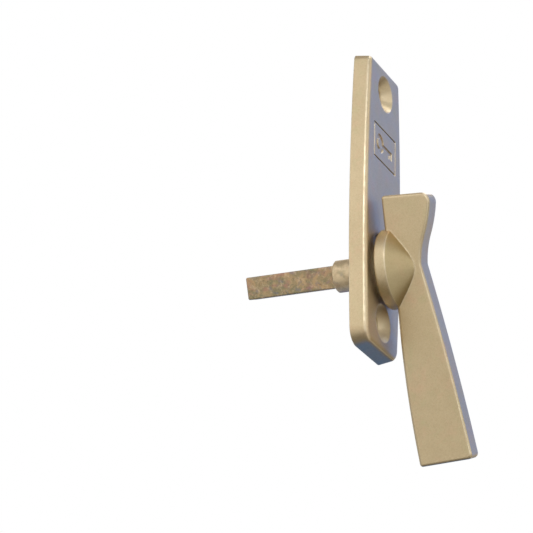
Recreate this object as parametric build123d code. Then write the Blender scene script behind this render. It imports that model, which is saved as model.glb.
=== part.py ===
"""Window sash lock: a cast plate with a lever handle on a square spindle.

Frame: the origin is on the spindle axis, in the mounting plane at the back of the plate.
+X is to the right seen from the room, +Z is up the plate, and -Y points into the room.
"Depth" below always means the distance from the mounting plane toward the room.
All sizes are in millimetres.
"""
import math
import os

from build123d import *

# Plate
PLATE_TOP = 59.4            # height of the top edge above the spindle axis
PLATE_BOTTOM = -23.1        # height of the bottom edge
PLATE_HALF_TOP = 11.0       # half width where the sides meet the top edge
PLATE_HALF_BOTTOM = 11.4    # half width where the sides meet the bottom edge
PLATE_HALF_MIDDLE = 13.13   # half width at the widest place
PLATE_WIDEST_AT = 16.0      # height of the widest place
PLATE_DEPTH = 4.6           # back to front
PLATE_DRAFT = 9.0           # lean of the side walls, degrees
CORNER_TOP = 2.4            # corner radius of the outline at the top
CORNER_BOTTOM = 4.4         # corner radius of the outline at the bottom
FRONT_ROUNDING = 1.4        # soft edge around the front face
SIDE_WALL = 2.0             # thickness of the wall around the hollow back
HOLLOW_DEPTH = 2.2          # depth of the hollow from the mounting plane

# Screw holes
HOLE_TOP = 51.2             # height of the upper screw hole
HOLE_BOTTOM = -14.8         # height of the lower screw hole
HOLE_RADIUS = 2.75
SINK_RADIUS = 5.15          # countersink at the front face
BOSS_RADIUS = 6.6           # post behind each screw hole

# Badge field on the front face
BADGE_HEIGHT = 35.2         # height of its centre
BADGE_WIDTH = 15.4
BADGE_TALL = 10.2
BADGE_LINE = 0.5            # width of the engraved frame
ENGRAVED = 0.3              # depth of the engraving

# Lever
LEVER_TURN = 21.5           # degrees the lever stands away from hanging straight down
HUB_RADIUS = 10.65
HUB_BACK = 5.8              # depth of the hub's back face
HUB_RIM = 8.85              # depth where the rim ends and the cone starts
CONE_END = 15.0             # depth of the cone's flat end, inside the blade
CONE_END_RADIUS = 2.45
BLADE_HALF_BACK = 3.35      # half thickness of the blade at its back edge
BLADE_HALF_FRONT = 3.0      # half thickness of the blade at its front edge
BLADE_ROUNDING = 0.75
HUB_ROUNDING = 0.6

# Spindle
JOURNAL_RADIUS = 4.3
JOURNAL_END = 8.5           # how far the round part stands out behind the plate
SPINDLE_END = 33.6          # how far the square part stands out behind the plate
SPINDLE_SQUARE = 6.0
SOCKET_DEPTH = 11.2         # depth of the blind socket in the hub
GROOVE_RADIUS = 3.9         # groove for the retaining ring
GROOVE_FROM, GROOVE_TO = 0.2, 1.1

# Bush, washers, ring
BUSH_BORE = 4.35
BUSH_RADIUS = 5.5
FLANGE_RADIUS = 6.9
FLANGE_FRONT = 5.75
THRUST_BACK, THRUST_FRONT = 1.65, 2.15
THRUST_RADIUS = 7.2
SPRING_RADIUS = 6.6
SPRING_THICKNESS = 0.3
SPRING_BACK, SPRING_FRONT = 1.1, 1.62
RING_BACK, RING_FRONT = 0.25, 1.05

# Pins
CROSS_PIN_RADIUS = 1.0
CROSS_PIN_DEPTH = 7.3       # depth of its centre line
CROSS_PIN_FROM, CROSS_PIN_TO = -6.6, 10.1
STOP_PIN_RADIUS = 1.25
STOP_CIRCLE = 8.45          # distance of the stop pin from the spindle axis
STOP_ANGLE = 45.0           # degrees to the right of straight up, lever hanging down
STOP_PIN_BACK, STOP_PIN_FRONT = 3.4, 7.9
TRACK_FLOOR = 3.2           # depth of the floor of the stop track
SWING = 90.0                # travel of the lever between its stops, degrees

FIT = 0.02                  # clearance of parts fixed into each other


def facing_room(depth):
    """Plane parallel to the plate at a depth, with X right and Z up, extruding into the room."""
    return Plane.XZ.offset(depth)


def disc(radius, back, front, x=0.0, z=0.0):
    """Round solid along the spindle direction between two depths."""
    circle = facing_room(back) * Pos(x, z) * Circle(radius)
    return extrude(circle, front - back)


def turned(points):
    """Solid of revolution around the spindle axis from (radius, depth) points."""
    outline = Polyline(*[(radius, -depth, 0) for radius, depth in points], close=True)
    return revolve(make_face(outline), Axis.Y)


def with_lever(solid):
    """Turn a solid drawn for a hanging lever to where the lever stands."""
    return Rot(0, -LEVER_TURN, 0) * solid


def plate_outline():
    """Barrel-shaped outline of the plate at the mounting plane."""
    bottom_right = (PLATE_HALF_BOTTOM, PLATE_BOTTOM)
    bottom_left = (-PLATE_HALF_BOTTOM, PLATE_BOTTOM)
    top_right = (PLATE_HALF_TOP, PLATE_TOP)
    top_left = (-PLATE_HALF_TOP, PLATE_TOP)
    right = ThreePointArc(bottom_right, (PLATE_HALF_MIDDLE, PLATE_WIDEST_AT), top_right)
    left = ThreePointArc(top_left, (-PLATE_HALF_MIDDLE, PLATE_WIDEST_AT), bottom_left)
    top = Line(top_right, top_left)
    bottom = Line(bottom_left, bottom_right)
    face = make_face(Curve() + [right, top, left, bottom])
    face = fillet(face.vertices().group_by(Axis.Y)[-1], CORNER_TOP)
    return fillet(face.vertices().group_by(Axis.Y)[0], CORNER_BOTTOM)


def plate_hollow():
    """Space cast out of the back, leaving posts at the screws and ribs between them."""
    hollow = extrude(facing_room(0) * offset(plate_outline(), -SIDE_WALL), HOLLOW_DEPTH)
    for z in (HOLE_TOP, HOLE_BOTTOM):
        hollow -= disc(BOSS_RADIUS, 0, HOLLOW_DEPTH, 0, z)
    rib_bottom, rib_top = 12.5, HOLE_TOP - BOSS_RADIUS + 1.0
    for x in (-4.0, 4.0):
        rib = Pos(x, (rib_bottom + rib_top) / 2) * Rectangle(1.2, rib_top - rib_bottom)
        hollow -= extrude(facing_room(0) * rib, HOLLOW_DEPTH)
    for z in (12.5, 28.0):
        rib = Pos(0, z) * Rectangle(2 * PLATE_HALF_MIDDLE, 1.2)
        hollow -= extrude(facing_room(0) * rib, HOLLOW_DEPTH)
    return hollow


def screw_hole(z):
    """Through hole with a 90 degree countersink."""
    sink_depth = SINK_RADIUS - HOLE_RADIUS
    beyond = 0.2
    hole = disc(HOLE_RADIUS, -beyond, PLATE_DEPTH + beyond, 0, z)
    sink = Polyline((0, -PLATE_DEPTH - beyond, 0), (SINK_RADIUS + beyond, -PLATE_DEPTH - beyond, 0),
                    (HOLE_RADIUS, -PLATE_DEPTH + sink_depth, 0), (0, -PLATE_DEPTH + sink_depth, 0),
                    close=True)
    return hole + Pos(0, 0, z) * revolve(make_face(sink), Axis.Y)


def badge():
    """Engraving: a plain frame around a small key sign."""
    frame = Rectangle(BADGE_WIDTH, BADGE_TALL)
    frame -= Rectangle(BADGE_WIDTH - 2 * BADGE_LINE, BADGE_TALL - 2 * BADGE_LINE)
    key = Pos(-3.5, 0) * (Circle(2.7) - Circle(1.35))
    key += Pos(1.8, 0) * Rectangle(6.6, 1.1)
    for x, length in ((3.0, 1.9), (4.55, 1.9)):
        key += Pos(x, -length / 2) * Rectangle(0.9, length)
    sign = facing_room(PLATE_DEPTH) * Pos(0, BADGE_HEIGHT) * (frame + key)
    return extrude(sign, -ENGRAVED)


def stop_track():
    """Quarter-circle groove under the hub that the stop pin runs in."""
    clearance = 0.12
    half_width = STOP_PIN_RADIUS + clearance
    depth = PLATE_DEPTH - TRACK_FLOOR
    start = 90.0 - STOP_ANGLE
    plane = facing_room(TRACK_FLOOR)
    inner, outer = STOP_CIRCLE - half_width, STOP_CIRCLE + half_width

    def on_circle(radius, degrees):
        turn = math.radians(degrees)
        return radius * math.cos(turn), radius * math.sin(turn)

    end, middle = start + SWING, start + SWING / 2
    groove = make_face(Curve() + [
        ThreePointArc(on_circle(inner, start), on_circle(inner, middle), on_circle(inner, end)),
        Line(on_circle(inner, end), on_circle(outer, end)),
        ThreePointArc(on_circle(outer, end), on_circle(outer, middle), on_circle(outer, start)),
        Line(on_circle(outer, start), on_circle(inner, start))])
    for degrees in (start, end):
        groove += Pos(*on_circle(STOP_CIRCLE, degrees)) * Circle(half_width)
    return extrude(plane * groove, depth)


def escutcheon_plate():
    body = extrude(facing_room(0) * plate_outline(), PLATE_DEPTH, taper=PLATE_DRAFT)
    body = fillet(body.faces().sort_by(Axis.Y)[0].edges(), FRONT_ROUNDING)
    body -= plate_hollow()
    for z in (HOLE_TOP, HOLE_BOTTOM):
        body -= screw_hole(z)
    body -= disc(BUSH_RADIUS + FIT, -0.2, PLATE_DEPTH + 0.2)
    body -= stop_track()
    body -= badge()
    return body


def blade():
    """Flat blade that narrows to a waist at the spindle and flares to both ends."""
    top_back, top_front = (-7.6, 19.3), (-21.05, 18.6)
    shoulder, flare, waist = (-20.5, 15.7), (-18.1, 8.0), (-16.1, 0.2)
    bottom_front, bottom_back = (-23.35, -51.3), (-8.85, -52.15)
    neck_low, neck_high = (-8.25, -10.0), (-7.4, 10.0)
    swell = TangentArc(shoulder, flare, tangent=Vector(*shoulder) - Vector(*top_front))
    outline = make_face(Curve() + [
        Line(top_back, top_front), Line(top_front, shoulder), swell,
        TangentArc(flare, waist, tangent=swell % 1),
        ThreePointArc(waist, (-19.45, -20.5), bottom_front),
        Line(bottom_front, bottom_back),
        ThreePointArc(bottom_back, (-7.85, -32.0), neck_low),
        Line(neck_low, neck_high), Line(neck_high, top_back)])
    roundings = {top_front: 2.5, waist: 2.5, top_back: 0.8, bottom_front: 1.3, bottom_back: 0.8,
                 neck_low: 3.0, neck_high: 3.0}
    for corner, radius in roundings.items():
        outline = fillet(outline.vertices().sort_by_distance((*corner, 0))[0], radius)
    slab = extrude(Plane.YZ * outline, 5.0, both=True)
    back, front = 7.0, 24.0
    wedge = make_face(Polyline((BLADE_HALF_BACK, -back), (BLADE_HALF_FRONT, -front),
                               (-BLADE_HALF_FRONT, -front), (-BLADE_HALF_BACK, -back), close=True))
    slab &= extrude(Plane.XY.offset(-60.0) * wedge, 90.0)
    sides = slab.faces().sort_by(Axis.X)
    return fillet(sides[0].edges() + sides[-1].edges(), BLADE_ROUNDING)


def hub():
    """Round disc with a cone that rises to the waist of the blade."""
    body = turned([(0, HUB_BACK), (HUB_RADIUS, HUB_BACK), (HUB_RADIUS, HUB_RIM),
                   (CONE_END_RADIUS, CONE_END), (0, CONE_END)])
    rims = [edge for edge in body.edges().filter_by(GeomType.CIRCLE)
            if edge.radius > HUB_RADIUS - 0.1]
    return fillet(rims, HUB_ROUNDING)


def lever_handle():
    body = blade() + hub()
    body -= disc(JOURNAL_RADIUS + FIT, HUB_BACK - 0.2, SOCKET_DEPTH)
    pin_hole = Cylinder(CROSS_PIN_RADIUS + FIT, HUB_RADIUS + 0.5 - CROSS_PIN_FROM)
    middle = (HUB_RADIUS + 0.5 + CROSS_PIN_FROM) / 2
    body -= Pos(middle, -CROSS_PIN_DEPTH, 0) * Rot(0, 90, 0) * pin_hole
    x, z = stop_pin_place()
    body -= disc(STOP_PIN_RADIUS + FIT, HUB_BACK - 0.2, STOP_PIN_FRONT + 0.1, x, z)
    return with_lever(body)


def stop_pin_place():
    """Where the stop pin sits in the hub of a hanging lever, as (x, z)."""
    turn = math.radians(STOP_ANGLE)
    return STOP_CIRCLE * math.sin(turn), STOP_CIRCLE * math.cos(turn)


def spindle():
    """Round journal that runs through the plate, ending in a square drive bar."""
    head = SOCKET_DEPTH - 0.1
    body = turned([(0, -JOURNAL_END), (JOURNAL_RADIUS - 0.3, -JOURNAL_END),
                   (JOURNAL_RADIUS, -JOURNAL_END + 0.3), (JOURNAL_RADIUS, GROOVE_FROM),
                   (GROOVE_RADIUS, GROOVE_FROM), (GROOVE_RADIUS, GROOVE_TO),
                   (JOURNAL_RADIUS, GROOVE_TO), (JOURNAL_RADIUS, head - 0.3),
                   (JOURNAL_RADIUS - 0.3, head), (0, head)])
    square = fillet(Rectangle(SPINDLE_SQUARE, SPINDLE_SQUARE).vertices(), 0.4)
    bar = extrude(facing_room(-SPINDLE_END) * square, SPINDLE_END - JOURNAL_END + 0.5)
    body += chamfer(bar.faces().sort_by(Axis.Y)[-1].edges(), 0.25)
    pin_hole = Cylinder(CROSS_PIN_RADIUS + FIT, 2 * JOURNAL_RADIUS + 1.0)
    body -= Pos(0, -CROSS_PIN_DEPTH, 0) * Rot(0, 90, 0) * pin_hole
    return with_lever(body)


def pivot_bush():
    """Plastic bearing with a flange that keeps the hub off the plate."""
    inner, outer = BUSH_BORE, BUSH_RADIUS
    return turned([(inner, HOLLOW_DEPTH), (outer, HOLLOW_DEPTH), (outer, PLATE_DEPTH),
                   (FLANGE_RADIUS, PLATE_DEPTH), (FLANGE_RADIUS, FLANGE_FRONT),
                   (inner, FLANGE_FRONT)])


def thrust_washer():
    body = disc(THRUST_RADIUS, THRUST_BACK, THRUST_FRONT)
    return body - disc(BUSH_BORE + 0.05, THRUST_BACK - 0.1, THRUST_FRONT + 0.1)


def spring_washer():
    """Cupped spring washer that gives the lever its drag."""
    inner = BUSH_BORE + 0.05
    thickness = SPRING_THICKNESS
    return turned([(inner, SPRING_BACK), (inner, SPRING_BACK + thickness),
                   (SPRING_RADIUS, SPRING_FRONT), (SPRING_RADIUS, SPRING_FRONT - thickness)])


def retaining_ring():
    """Open spring ring with two eyes for the pliers."""
    inner, outer = GROOVE_RADIUS + FIT, 5.4
    eye_x, eye_z, eye_radius = 1.75, 5.5, 1.05
    ring = Circle(outer) - Circle(inner)
    for x in (-eye_x, eye_x):
        ring += Pos(x, eye_z) * Circle(eye_radius)
    ring -= Pos(0, eye_z) * Rectangle(1.4, 5.0)
    ring -= Circle(inner)
    for x in (-eye_x, eye_x):
        ring -= Pos(x, eye_z) * Circle(0.5)
    return with_lever(extrude(facing_room(RING_BACK) * ring, RING_FRONT - RING_BACK))


def cross_pin():
    """Slotted spring pin through the hub and the spindle."""
    length = CROSS_PIN_TO - CROSS_PIN_FROM
    tube = Cylinder(CROSS_PIN_RADIUS, length)
    tube = chamfer(tube.edges().filter_by(GeomType.CIRCLE), 0.2)
    tube -= Cylinder(0.55, length + 1.0)
    tube -= Pos(0, CROSS_PIN_RADIUS, 0) * Box(0.35, 1.5, length + 1.0)
    middle = (CROSS_PIN_FROM + CROSS_PIN_TO) / 2
    return with_lever(Pos(middle, -CROSS_PIN_DEPTH, 0) * Rot(0, 90, 0) * tube)


def stop_pin():
    """Plain pin in the back of the hub that meets the ends of the track."""
    x, z = stop_pin_place()
    pin = disc(STOP_PIN_RADIUS, STOP_PIN_BACK, STOP_PIN_FRONT, x, z)
    return with_lever(chamfer(pin.edges().filter_by(GeomType.CIRCLE), 0.2))


PIECES = {
    "escutcheon_plate": escutcheon_plate,
    "lever_handle": lever_handle,
    "spindle": spindle,
    "pivot_bush": pivot_bush,
    "thrust_washer": thrust_washer,
    "spring_washer": spring_washer,
    "retaining_ring": retaining_ring,
    "cross_pin": cross_pin,
    "stop_pin": stop_pin,
}

os.makedirs("parts", exist_ok=True)
for name, build in PIECES.items():
    export_step(build(), f"parts/{name}.step")
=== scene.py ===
"""Looks of the window sash lock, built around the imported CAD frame.

Metres, in the same frame as the CAD: +X right seen from the room, -Y into the room, +Z up.
"""
import math

import bpy
from mathutils import Matrix, Vector


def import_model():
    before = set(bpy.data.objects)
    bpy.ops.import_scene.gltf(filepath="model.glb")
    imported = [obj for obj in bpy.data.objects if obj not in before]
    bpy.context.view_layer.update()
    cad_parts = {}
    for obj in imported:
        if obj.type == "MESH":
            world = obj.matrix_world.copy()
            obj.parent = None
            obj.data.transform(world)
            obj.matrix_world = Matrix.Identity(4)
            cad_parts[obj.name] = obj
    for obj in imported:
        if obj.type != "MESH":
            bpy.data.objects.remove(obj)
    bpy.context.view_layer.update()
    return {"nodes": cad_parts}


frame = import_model()
nodes = frame["nodes"]

MM = 0.001
EDGE_SAMPLES = 6  # rays for the nodes that look at a face's surroundings

# How far a face turns from side wall (0) to front face (1): fades in, then fades out again.
ROUNDED_EDGE = (0.22, 0.42, 0.62, 0.76)
COUNTERSINK = (0.66, 0.69, 0.72, 0.75)
HUB_CONE = (0.74, 0.78, 0.82, 0.86)
LOWER_SCREW_MM = (-10.5, -13.5)  # heights between which the lower screw's surroundings begin

# Champagne coat
FLAKE_MM = 0.14
COAT_DEEP = (0.595, 0.478, 0.298)
COAT_LIGHT = (0.635, 0.514, 0.326)
COAT_ROSE = (0.68, 0.475, 0.315)
COAT_OLIVE = (0.56, 0.505, 0.295)
COAT_GRAIN = (0.42, 0.33, 0.20)
COAT_FLAKE = (0.80, 0.70, 0.52)
# painted light: the paler colour of the lower countersink, as if lit
COAT_COUNTERSINK_LIGHT = (0.86, 0.72, 0.45)
# painted shade on the hub's cone
COAT_CONE_SHADE = (0.30, 0.245, 0.105)
# painted shade under overhanging parts
COAT_OVERHANG_SHADE = (0.24, 0.155, 0.105)
# painted shade in crevices
COAT_CREVICE_SHADE = (0.07, 0.045, 0.04)
# painted highlight on rubbed edges
COAT_EDGE_HIGHLIGHT = (0.93, 0.83, 0.64)

# Yellow zinc plating of the spindle
JOURNAL_END_MM = (8.9, 8.3)  # depths between which the square bar turns into the round journal
ZINC_OLIVE = (0.225, 0.205, 0.118)
ZINC_BRASS = (0.44, 0.305, 0.165)
ZINC_ROSE = (0.40, 0.205, 0.16)
ZINC_GREY = (0.20, 0.19, 0.215)
ZINC_PALE = (0.60, 0.455, 0.30)
ZINC_SPECK = (0.10, 0.08, 0.055)
ZINC_JOURNAL = (0.66, 0.53, 0.34)
ZINC_WORN = (0.56, 0.50, 0.38)

# Bearing plastic and small steel parts
PLASTIC_DARK = (0.60, 0.585, 0.53)
PLASTIC_LIGHT = (0.70, 0.69, 0.645)
PLASTIC_CREVICE_DARK = (0.30, 0.27, 0.21)
BRIGHT_STEEL = ((0.42, 0.43, 0.44), (0.60, 0.61, 0.61))
BLACK_STEEL = ((0.045, 0.046, 0.05), (0.085, 0.085, 0.09))

# The room that glossy faces see: the colour all round, then for each side the direction, the
# cosines between which it fades in, and its colour. Later sides lie over earlier ones.
WHITE = (1.0, 1.0, 1.0)
ROOM_COLOUR = (0.45, 0.44, 0.42)
ROOM_SIDES = (
    ((0.0, 0.0, -1.0), 0.30, 1.0, (0.26, 0.24, 0.20)),           # dim floor
    ((0.96, -0.26, 0.0), 0.88, 0.995, (0.84, 0.76, 0.58)),       # warm wall on the right
    ((-0.97, -0.23, -0.05), 0.88, 0.99, (0.78, 0.74, 0.64)),     # pale wall on the left
    ((0.80, -0.38, -0.45), 0.88, 0.985, (0.17, 0.145, 0.12)),    # dark corner low on the right
    ((0.84, -0.33, 0.50), 0.80, 0.985, (0.32, 0.50, 1.16)),      # blue window high on the right
    ((0.78, 0.45, -0.42), 0.70, 0.95, (0.10, 0.22, 0.55)),       # blue shade low at the back
)

# Round soft lights: name, direction from the lock, half angle in degrees, brightness, colour
LIGHT_DISTANCE = 1.1
SOFTBOXES = (
    ("left_high", (-0.86, 0.35, 0.42), 27, 0.90, (0.98, 0.98, 1.0)),
    ("left_low", (-0.88, 0.35, -0.40), 23, 0.50, (1.0, 0.98, 0.92)),
    ("edge_light", (-0.78, -0.48, 0.37), 11, 3.0, (1.0, 0.98, 0.94)),
    ("front_high", (-0.05, -1.0, 0.26), 24, 0.92, (1.0, 0.98, 0.95)),
    ("front_low", (0.25, -0.85, -0.46), 20, 0.45, (1.0, 0.96, 0.88)),
    ("left_front_low", (-0.72, -0.62, -0.33), 18, 0.55, (1.0, 0.98, 0.92)),
    ("right_back_low", (0.55, 0.83, -0.30), 15, 1.3, (1.0, 0.97, 0.90)),
    ("right_high", (0.74, 0.22, 0.64), 14, 1.4, (1.0, 0.95, 0.86)),
    ("top", (0.20, -0.35, 0.90), 16, 1.9, (1.0, 0.98, 0.94)),
)

FLOOR_HALF = 4.0
FLOOR_HEIGHT = -0.42

# Camera: angles in degrees, then metres to the right and up in its own view
CAMERA_AZIMUTH = -67.634
CAMERA_ELEVATION = -21.816
CAMERA_ROLL = 0.75
CAMERA_DISTANCE = 0.64717
CAMERA_SHIFT = (-0.001417, 0.002066)   # where its line of sight passes the spindle axis
CAMERA_AIM = (-0.02518, -0.0004)       # what it looks at, from there
LENS_MM = 165.797
SENSOR_MM = 36.0


# ---------------------------------------------------------------- node helpers
def mixed(tree, factor, below, above):
    """Colour socket that goes from one colour to another; each is a tuple or a socket."""
    node = tree.nodes.new("ShaderNodeMix")
    node.data_type = "RGBA"
    inputs = {socket.identifier: socket for socket in node.inputs}
    tree.links.new(factor, inputs["Factor_Float"])
    for key, value in (("A_Color", below), ("B_Color", above)):
        if isinstance(value, tuple):
            inputs[key].default_value = (*value, 1.0)
        else:
            tree.links.new(value, inputs[key])
    return next(socket for socket in node.outputs if socket.identifier == "Result_Color")


class Shader:
    """One procedural material: a Principled shader and short calls that add nodes to it."""

    def __init__(self, name):
        self.material = bpy.data.materials.new(name)
        self.material.use_nodes = True
        self.tree = self.material.node_tree
        self.tree.nodes.clear()
        self.surface = self.add("ShaderNodeBsdfPrincipled")
        output = self.add("ShaderNodeOutputMaterial")
        self.link(self.surface.outputs["BSDF"], output.inputs["Surface"])
        self.place = self.add("ShaderNodeTexCoord").outputs["Object"]

    def add(self, kind, **settings):
        node = self.tree.nodes.new(kind)
        for key, value in settings.items():
            setattr(node, key, value)
        return node

    def link(self, source, target):
        self.tree.links.new(source, target)

    def set(self, **values):
        """Plain values on the Principled shader, given with _ for each space."""
        for key, value in values.items():
            self.surface.inputs[key.replace("_", " ")].default_value = value

    def colour(self, source):
        self.link(source, self.surface.inputs["Base Color"])

    def metallic(self, source):
        self.link(source, self.surface.inputs["Metallic"])

    def rough(self, source):
        self.link(source, self.surface.inputs["Roughness"])

    def component(self, vector, axis):
        parts = self.add("ShaderNodeSeparateXYZ")
        self.link(vector, parts.inputs[0])
        return parts.outputs[axis]

    def normal(self):
        return self.add("ShaderNodeNewGeometry").outputs["Normal"]

    def softened_normal(self, radius_mm):
        """The normal as if every edge were rounded by a radius."""
        node = self.add("ShaderNodeBevel", samples=EDGE_SAMPLES)
        node.inputs["Radius"].default_value = radius_mm * MM
        return node.outputs["Normal"]

    def ramp(self, source, low, high, start=0.0, end=1.0):
        """From low to high while the source goes from start to end."""
        node = self.add("ShaderNodeMapRange")
        node.inputs["From Min"].default_value = start
        node.inputs["From Max"].default_value = end
        node.inputs["To Min"].default_value = low
        node.inputs["To Max"].default_value = high
        self.link(source, node.inputs["Value"])
        return node.outputs["Result"]

    def math(self, operation, first, second):
        node = self.add("ShaderNodeMath", operation=operation)
        for socket, value in zip(node.inputs, (first, second)):
            if isinstance(value, float):
                socket.default_value = value
            else:
                self.link(value, socket)
        return node.outputs[0]

    def times(self, first, second):
        return self.math("MULTIPLY", first, second)

    def mix(self, factor, below, above):
        return mixed(self.tree, factor, below, above)

    def stretched(self, scale):
        mapping = self.add("ShaderNodeMapping")
        mapping.inputs["Scale"].default_value = scale
        self.link(self.place, mapping.inputs["Vector"])
        return mapping.outputs["Vector"]

    def noise(self, size_mm, detail=2.0, roughness=0.5, stretch=None, distortion=0.0):
        """Noise whose blotches are about size_mm across, from 0 to 1."""
        node = self.add("ShaderNodeTexNoise")
        node.inputs["Scale"].default_value = 1.0 / (size_mm * MM)
        node.inputs["Detail"].default_value = detail
        node.inputs["Roughness"].default_value = roughness
        node.inputs["Distortion"].default_value = distortion
        self.link(self.stretched(stretch) if stretch else self.place, node.inputs["Vector"])
        return node.outputs["Fac"]

    def patches(self, strength, start, end, *size_and_detail, **more):
        """Blotches of noise: 0 where it is at start, up to the strength where it is at end."""
        return self.ramp(self.noise(*size_and_detail, **more), 0.0, strength, start, end)

    def cells(self, size_mm):
        """A random grey for each small cell, like flakes in a coating."""
        node = self.add("ShaderNodeTexVoronoi")
        node.inputs["Scale"].default_value = 1.0 / (size_mm * MM)
        self.link(self.place, node.inputs["Vector"])
        split = self.add("ShaderNodeSeparateColor")
        self.link(node.outputs["Color"], split.inputs["Color"])
        return split.outputs[0]

    def rings(self, pitch_mm):
        """Slightly wavy turning rings round the spindle's direction."""
        node = self.add("ShaderNodeTexWave", wave_type="RINGS", rings_direction="Y")
        node.inputs["Scale"].default_value = math.pi / (10 * pitch_mm * MM)
        node.inputs["Distortion"].default_value = 1.2
        self.link(self.place, node.inputs["Vector"])
        return node.outputs["Fac"]

    def edges(self, width_mm):
        """1 on convex and concave edges narrower than the width, 0 on open faces."""
        dot = self.add("ShaderNodeVectorMath", operation="DOT_PRODUCT")
        self.link(self.softened_normal(width_mm), dot.inputs[0])
        self.link(self.normal(), dot.inputs[1])
        return self.ramp(dot.outputs["Value"], 1.0, 0.0, 0.9, 0.998)

    def leaning(self, start, full, fade, end):
        """1 where the surface leans between side wall (0) and front face (1), 0 elsewhere."""
        lean = self.math("ABSOLUTE", self.component(self.normal(), "Y"), 0.0)
        return self.times(self.ramp(lean, 0.0, 1.0, start, full), self.ramp(lean, 1.0, 0.0, fade, end))

    def facing(self, axis, start, end):
        """0 to 1 as the surface turns toward the positive side of an axis."""
        return self.ramp(self.component(self.normal(), axis), 0.0, 1.0, start, end)

    def along(self, axis, start_mm, end_mm):
        """0 to 1 along one axis of the object between two places."""
        return self.ramp(self.component(self.place, axis), 0.0, 1.0, start_mm * MM, end_mm * MM)

    def covered(self, reach_mm, full, none):
        """1 where surroundings within reach leave little open sky, 0 where they leave much."""
        node = self.add("ShaderNodeAmbientOcclusion", samples=EDGE_SAMPLES)
        node.inputs["Distance"].default_value = reach_mm * MM
        return self.ramp(node.outputs["AO"], 1.0, 0.0, full, none)

    def crevices(self, reach_mm):
        """1 deep in grooves and inner corners, 0 on open faces."""
        return self.covered(reach_mm, 0.15, 0.62)

    def bump(self, *layers, soften_mm):
        """Stacked bumps, each (height source, height in mm), over edges softened by a radius."""
        normal = self.softened_normal(soften_mm)
        for source, height_mm in layers:
            node = self.add("ShaderNodeBump")
            node.inputs["Strength"].default_value = 1.0
            node.inputs["Distance"].default_value = height_mm * MM
            self.link(source, node.inputs["Height"])
            self.link(normal, node.inputs["Normal"])
            normal = node.outputs["Normal"]
        self.link(normal, self.surface.inputs["Normal"])


# ---------------------------------------------------------------- materials
def coat_colour(shader):
    """The coat's own colour: a slow drift, rose and olive clouds, dark grain, pale flakes."""
    tone = shader.mix(shader.patches(1.0, 0.35, 0.65, 16.0, 3.0), COAT_DEEP, COAT_LIGHT)
    tone = shader.mix(shader.patches(0.5, 0.52, 0.70, 5.5, 3.0, 0.6), tone, COAT_ROSE)
    tone = shader.mix(shader.patches(0.5, 0.53, 0.72, 4.3, 3.0, 0.6), tone, COAT_OLIVE)
    tone = shader.mix(shader.patches(0.22, 0.6, 0.3, 0.5, 2.0), tone, COAT_GRAIN)
    flakes = shader.ramp(shader.cells(FLAKE_MM), 0.0, 1.0, 0.2, 1.0)
    return shader.mix(shader.times(flakes, 0.22), tone, COAT_FLAKE)


def edge_wear_and_highlight(shader, edge_mm):
    """Uneven wear and a painted highlight on sharp and rounded edges, except on those that face down,
    which the light from above misses.
    """
    patchy = shader.ramp(shader.noise(2.2, 4.0), 0.45, 1.0, 0.35, 0.7)
    edges = shader.math("MAXIMUM", shader.edges(edge_mm), shader.leaning(*ROUNDED_EDGE))
    return shader.times(shader.times(edges, patchy), shader.facing("Z", -0.6, -0.2))


def champagne_coat(name, edge_mm, crevice_painted_shade, overhang_painted_shade=0.0, cone_painted_shade=0.0):
    """Satin metallic coating on a zinc casting, with fine flakes and rubbed edges that carry a painted
    highlight; painted shade on the hub cone, under overhangs and in crevices, and painted light on the
    lower countersink.
    """
    shader = Shader(name)
    # Painted light: the lower countersink is made paler, as if lit; its coat is also made less metallic
    # there.
    countersink_finish_and_painted_light = shader.times(shader.leaning(*COUNTERSINK), shader.along("Z", *LOWER_SCREW_MM))
    shader.metallic(shader.ramp(countersink_finish_and_painted_light, 1.0, 0.62))
    tone = shader.mix(shader.times(countersink_finish_and_painted_light, 0.25), coat_colour(shader), COAT_COUNTERSINK_LIGHT)
    # Painted shade: the hub's cone is darkened.
    if cone_painted_shade:
        tone = shader.mix(shader.times(shader.leaning(*HUB_CONE), cone_painted_shade), tone, COAT_CONE_SHADE)
    # Painted shade where nearby parts overhang and leave little open sky.
    if overhang_painted_shade:
        overhang_shade = shader.covered(5.0, 0.20, 0.70)
        tone = shader.mix(shader.times(overhang_shade, overhang_painted_shade), tone, COAT_OVERHANG_SHADE)
    # Painted shade deep in grooves, gaps and inner corners.
    tone = shader.mix(shader.times(shader.crevices(1.0), crevice_painted_shade), tone, COAT_CREVICE_SHADE)
    wear_and_highlight = edge_wear_and_highlight(shader, edge_mm)
    # Painted highlight: rubbed edges are made paler; the same mask also lowers the roughness there, as
    # wear.
    shader.colour(shader.mix(shader.times(wear_and_highlight, 0.8), tone, COAT_EDGE_HIGHLIGHT))
    rough = shader.ramp(shader.noise(2.6, 4.0), 0.43, 0.50, 0.3, 0.7)
    shader.rough(shader.math("SUBTRACT", rough, shader.times(wear_and_highlight, 0.18)))
    shader.bump((shader.noise(0.7, 3.0), 0.0028), (shader.cells(FLAKE_MM), 0.0016), soften_mm=0.35)
    return shader.material


def zinc_blotches(shader):
    """Plating that drifts from olive to brass, with rose, grey and pale patches and dark specks."""
    blotch = shader.patches(1.0, 0.38, 0.60, 3.4, 5.0, 0.65, distortion=0.6)
    tone = shader.mix(blotch, ZINC_OLIVE, ZINC_BRASS)
    rose = shader.patches(0.75, 0.52, 0.68, 2.3, 3.0, 0.55, stretch=(1.0, 0.55, 1.3))
    tone = shader.mix(rose, tone, ZINC_ROSE)
    grey = shader.patches(0.8, 0.54, 0.70, 1.7, 5.0, 0.65, stretch=(1.3, 0.8, 1.0))
    tone = shader.mix(grey, tone, ZINC_GREY)
    tone = shader.mix(shader.patches(0.6, 0.53, 0.68, 1.1, 4.0, 0.6), tone, ZINC_PALE)
    return shader.mix(shader.patches(0.6, 0.57, 0.73, 0.7, 3.0, 0.65), tone, ZINC_SPECK)


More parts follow.
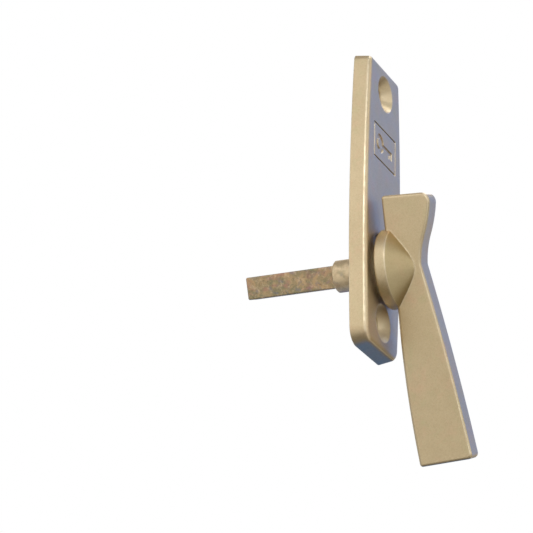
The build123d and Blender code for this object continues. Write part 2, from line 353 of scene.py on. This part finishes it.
def yellow_zinc():
    """Steel bar in dull yellow zinc plating: a blotched square bar and a paler round journal."""
    shader = Shader("yellow_zinc")
    shader.set(Metallic=0.72)
    tone = zinc_blotches(shader)
    cloud = shader.ramp(shader.noise(1.6, 4.0), 0.45, 0.95, 0.4, 0.6)
    tone = shader.mix(shader.times(shader.along("Y", *JOURNAL_END_MM), cloud), tone, ZINC_JOURNAL)
    worn = shader.times(shader.edges(0.35), shader.patches(1.0, 0.4, 0.65, 1.4, 4.0))
    shader.colour(shader.mix(shader.times(worn, 0.6), tone, ZINC_WORN))
    shader.rough(shader.ramp(shader.noise(1.3, 5.0, 0.6), 0.34, 0.58, 0.3, 0.7))
    drawn_lines = shader.noise(0.22, 3.0, 0.6, stretch=(1.0, 0.06, 1.0))
    shader.bump((shader.noise(0.8, 4.0, 0.6), 0.012), (drawn_lines, 0.006), soften_mm=0.2)
    return shader.material


def natural_plastic():
    """Moulded bearing plastic, off-white and faintly cloudy."""
    shader = Shader("natural_plastic")
    shader.set(Subsurface_Weight=0.12, Subsurface_Scale=0.002)
    tone = shader.mix(shader.noise(3.0, 3.0), PLASTIC_DARK, PLASTIC_LIGHT)
    # Darker deep in the crevices, by how little open sky they see.
    shader.colour(shader.mix(shader.times(shader.crevices(0.6), 0.5), tone, PLASTIC_CREVICE_DARK))
    shader.rough(shader.ramp(shader.noise(1.2, 3.0), 0.38, 0.52))
    shader.bump((shader.noise(0.35, 2.0), 0.003), soften_mm=0.15)
    return shader.material


def steel(name, tones, smoothest, roughest, ring_pitch_mm=None):
    """Small steel parts: a tone that drifts, worn edges, and fine scratches or turning rings."""
    shader = Shader(name)
    shader.set(Metallic=0.9)
    tone = shader.mix(shader.patches(1.0, 0.35, 0.65, 2.0, 4.0, 0.6), *tones)
    bright = tuple(min(1.0, channel * 1.7 + 0.08) for channel in tones[1])
    worn = shader.times(shader.edges(0.2), shader.patches(1.0, 0.35, 0.65, 0.9, 3.0))
    shader.colour(shader.mix(shader.times(worn, 0.5), tone, bright))
    shader.rough(shader.ramp(shader.noise(0.8, 4.0), smoothest, roughest, 0.3, 0.7))
    if ring_pitch_mm:
        shader.bump((shader.rings(ring_pitch_mm), 0.002), (shader.noise(0.5, 3.0), 0.003), soften_mm=0.1)
    else:
        shader.bump((shader.noise(0.3, 3.0), 0.003), soften_mm=0.1)
    return shader.material


def dress(material, *names):
    for name in names:
        nodes[name].data.materials.clear()
        nodes[name].data.materials.append(material)


# ---------------------------------------------------------------- stage
def floor():
    """Plain pale floor that glossy faces don't see."""
    half, height = FLOOR_HALF, FLOOR_HEIGHT
    mesh = bpy.data.meshes.new("floor")
    corners = [(-half, -half, height), (half, -half, height), (half, half, height), (-half, half, height)]
    mesh.from_pydata(corners, [], [(0, 1, 2, 3)])
    plane = bpy.data.objects.new("floor", mesh)
    bpy.context.scene.collection.objects.link(plane)
    shader = Shader("floor_paint")
    shader.set(Base_Color=(0.95, 0.95, 0.95, 1.0), Roughness=0.8, Specular_IOR_Level=0.0)
    mesh.materials.append(shader.material)
    plane.visible_glossy = False


def softbox(name, direction, half_angle, brightness, colour):
    """Disk of light at a fixed distance, seen from the lock with the given half angle."""
    radius = LIGHT_DISTANCE * math.tan(math.radians(half_angle))
    data = bpy.data.lights.new(name, "AREA")
    data.shape, data.size, data.color = "DISK", 2 * radius, colour
    data.energy = brightness * math.pi * math.pi * radius ** 2
    light = bpy.data.objects.new(name, data)
    aim = Vector(direction).normalized()
    light.location = aim * LIGHT_DISTANCE
    light.rotation_euler = aim.to_track_quat("Z", "Y").to_euler()
    light.visible_camera = False
    bpy.context.scene.collection.objects.link(light)


def nearness(tree, direction, aim, start, end):
    """0 to 1 for directions closer and closer to an aim, by the cosine between them."""
    dot = tree.nodes.new("ShaderNodeVectorMath")
    dot.operation = "DOT_PRODUCT"
    dot.inputs[1].default_value = Vector(aim).normalized()
    tree.links.new(direction, dot.inputs[0])
    near = tree.nodes.new("ShaderNodeMapRange")
    near.interpolation_type = "SMOOTHSTEP"
    near.inputs["From Min"].default_value, near.inputs["From Max"].default_value = start, end
    tree.links.new(dot.outputs["Value"], near.inputs["Value"])
    return near.outputs["Result"]


def world():
    """White backdrop and white fill; glossy reflections see a room instead."""
    scene_world = bpy.data.worlds.new("studio")
    bpy.context.scene.world = scene_world
    scene_world.use_nodes = True
    tree = scene_world.node_tree
    tree.nodes.clear()
    direction = tree.nodes.new("ShaderNodeTexCoord").outputs["Generated"]
    room_colour = ROOM_COLOUR
    for aim, start, end, colour in ROOM_SIDES:
        room_colour = mixed(tree, nearness(tree, direction, aim, start, end), room_colour, colour)
    backdrop, room = (tree.nodes.new("ShaderNodeBackground") for _ in range(2))
    backdrop.inputs["Color"].default_value = (*WHITE, 1.0)
    tree.links.new(room_colour, room.inputs["Color"])
    mix = tree.nodes.new("ShaderNodeMixShader")
    tree.links.new(tree.nodes.new("ShaderNodeLightPath").outputs["Is Glossy Ray"], mix.inputs["Fac"])
    tree.links.new(backdrop.outputs["Background"], mix.inputs[1])
    tree.links.new(room.outputs["Background"], mix.inputs[2])
    output = tree.nodes.new("ShaderNodeOutputWorld")
    tree.links.new(mix.outputs["Shader"], output.inputs["Surface"])


def camera():
    """Long lens from the left and below, with the lock right of the middle of the frame."""
    azimuth, elevation, roll = (
        math.radians(angle) for angle in (CAMERA_AZIMUTH, CAMERA_ELEVATION, CAMERA_ROLL))
    back = Vector((math.sin(azimuth) * math.cos(elevation), -math.cos(azimuth) * math.cos(elevation),
                   math.sin(elevation)))
    level = Vector((math.cos(azimuth), math.sin(azimuth), 0.0))
    upright = back.cross(level)
    right = math.cos(roll) * level + math.sin(roll) * upright
    up = math.cos(roll) * upright - math.sin(roll) * level
    on_axis = CAMERA_SHIFT[0] * right + CAMERA_SHIFT[1] * up
    place = on_axis + CAMERA_DISTANCE * back
    target = on_axis + CAMERA_AIM[0] * right + CAMERA_AIM[1] * up
    view_back = (place - target).normalized()
    view_right = up.cross(view_back).normalized()
    view_up = view_back.cross(view_right)
    data = bpy.data.cameras.new("camera")
    data.lens, data.sensor_width = LENS_MM, SENSOR_MM
    data.clip_start, data.clip_end = 0.01, 20.0
    eye = bpy.data.objects.new("camera", data)
    turn = Matrix((view_right, view_up, view_back)).transposed().to_4x4()
    eye.matrix_world = Matrix.Translation(place) @ turn
    bpy.context.scene.collection.objects.link(eye)
    bpy.context.scene.camera = eye


dress(champagne_coat("plate_coat", 0.4, 0.6), "escutcheon_plate")
dress(champagne_coat("lever_coat", 1.0, 0.85, overhang_painted_shade=0.10, cone_painted_shade=0.46), "lever_handle")
dress(yellow_zinc(), "spindle")
dress(natural_plastic(), "pivot_bush")
dress(steel("bright_steel", BRIGHT_STEEL, 0.26, 0.42, ring_pitch_mm=1.1), "thrust_washer", "stop_pin")
dress(steel("black_spring_steel", BLACK_STEEL, 0.32, 0.5), "spring_washer", "retaining_ring", "cross_pin")

floor()
world()
for box in SOFTBOXES:
    softbox(*box)
camera()
bpy.context.scene.view_settings.view_transform = "Standard"
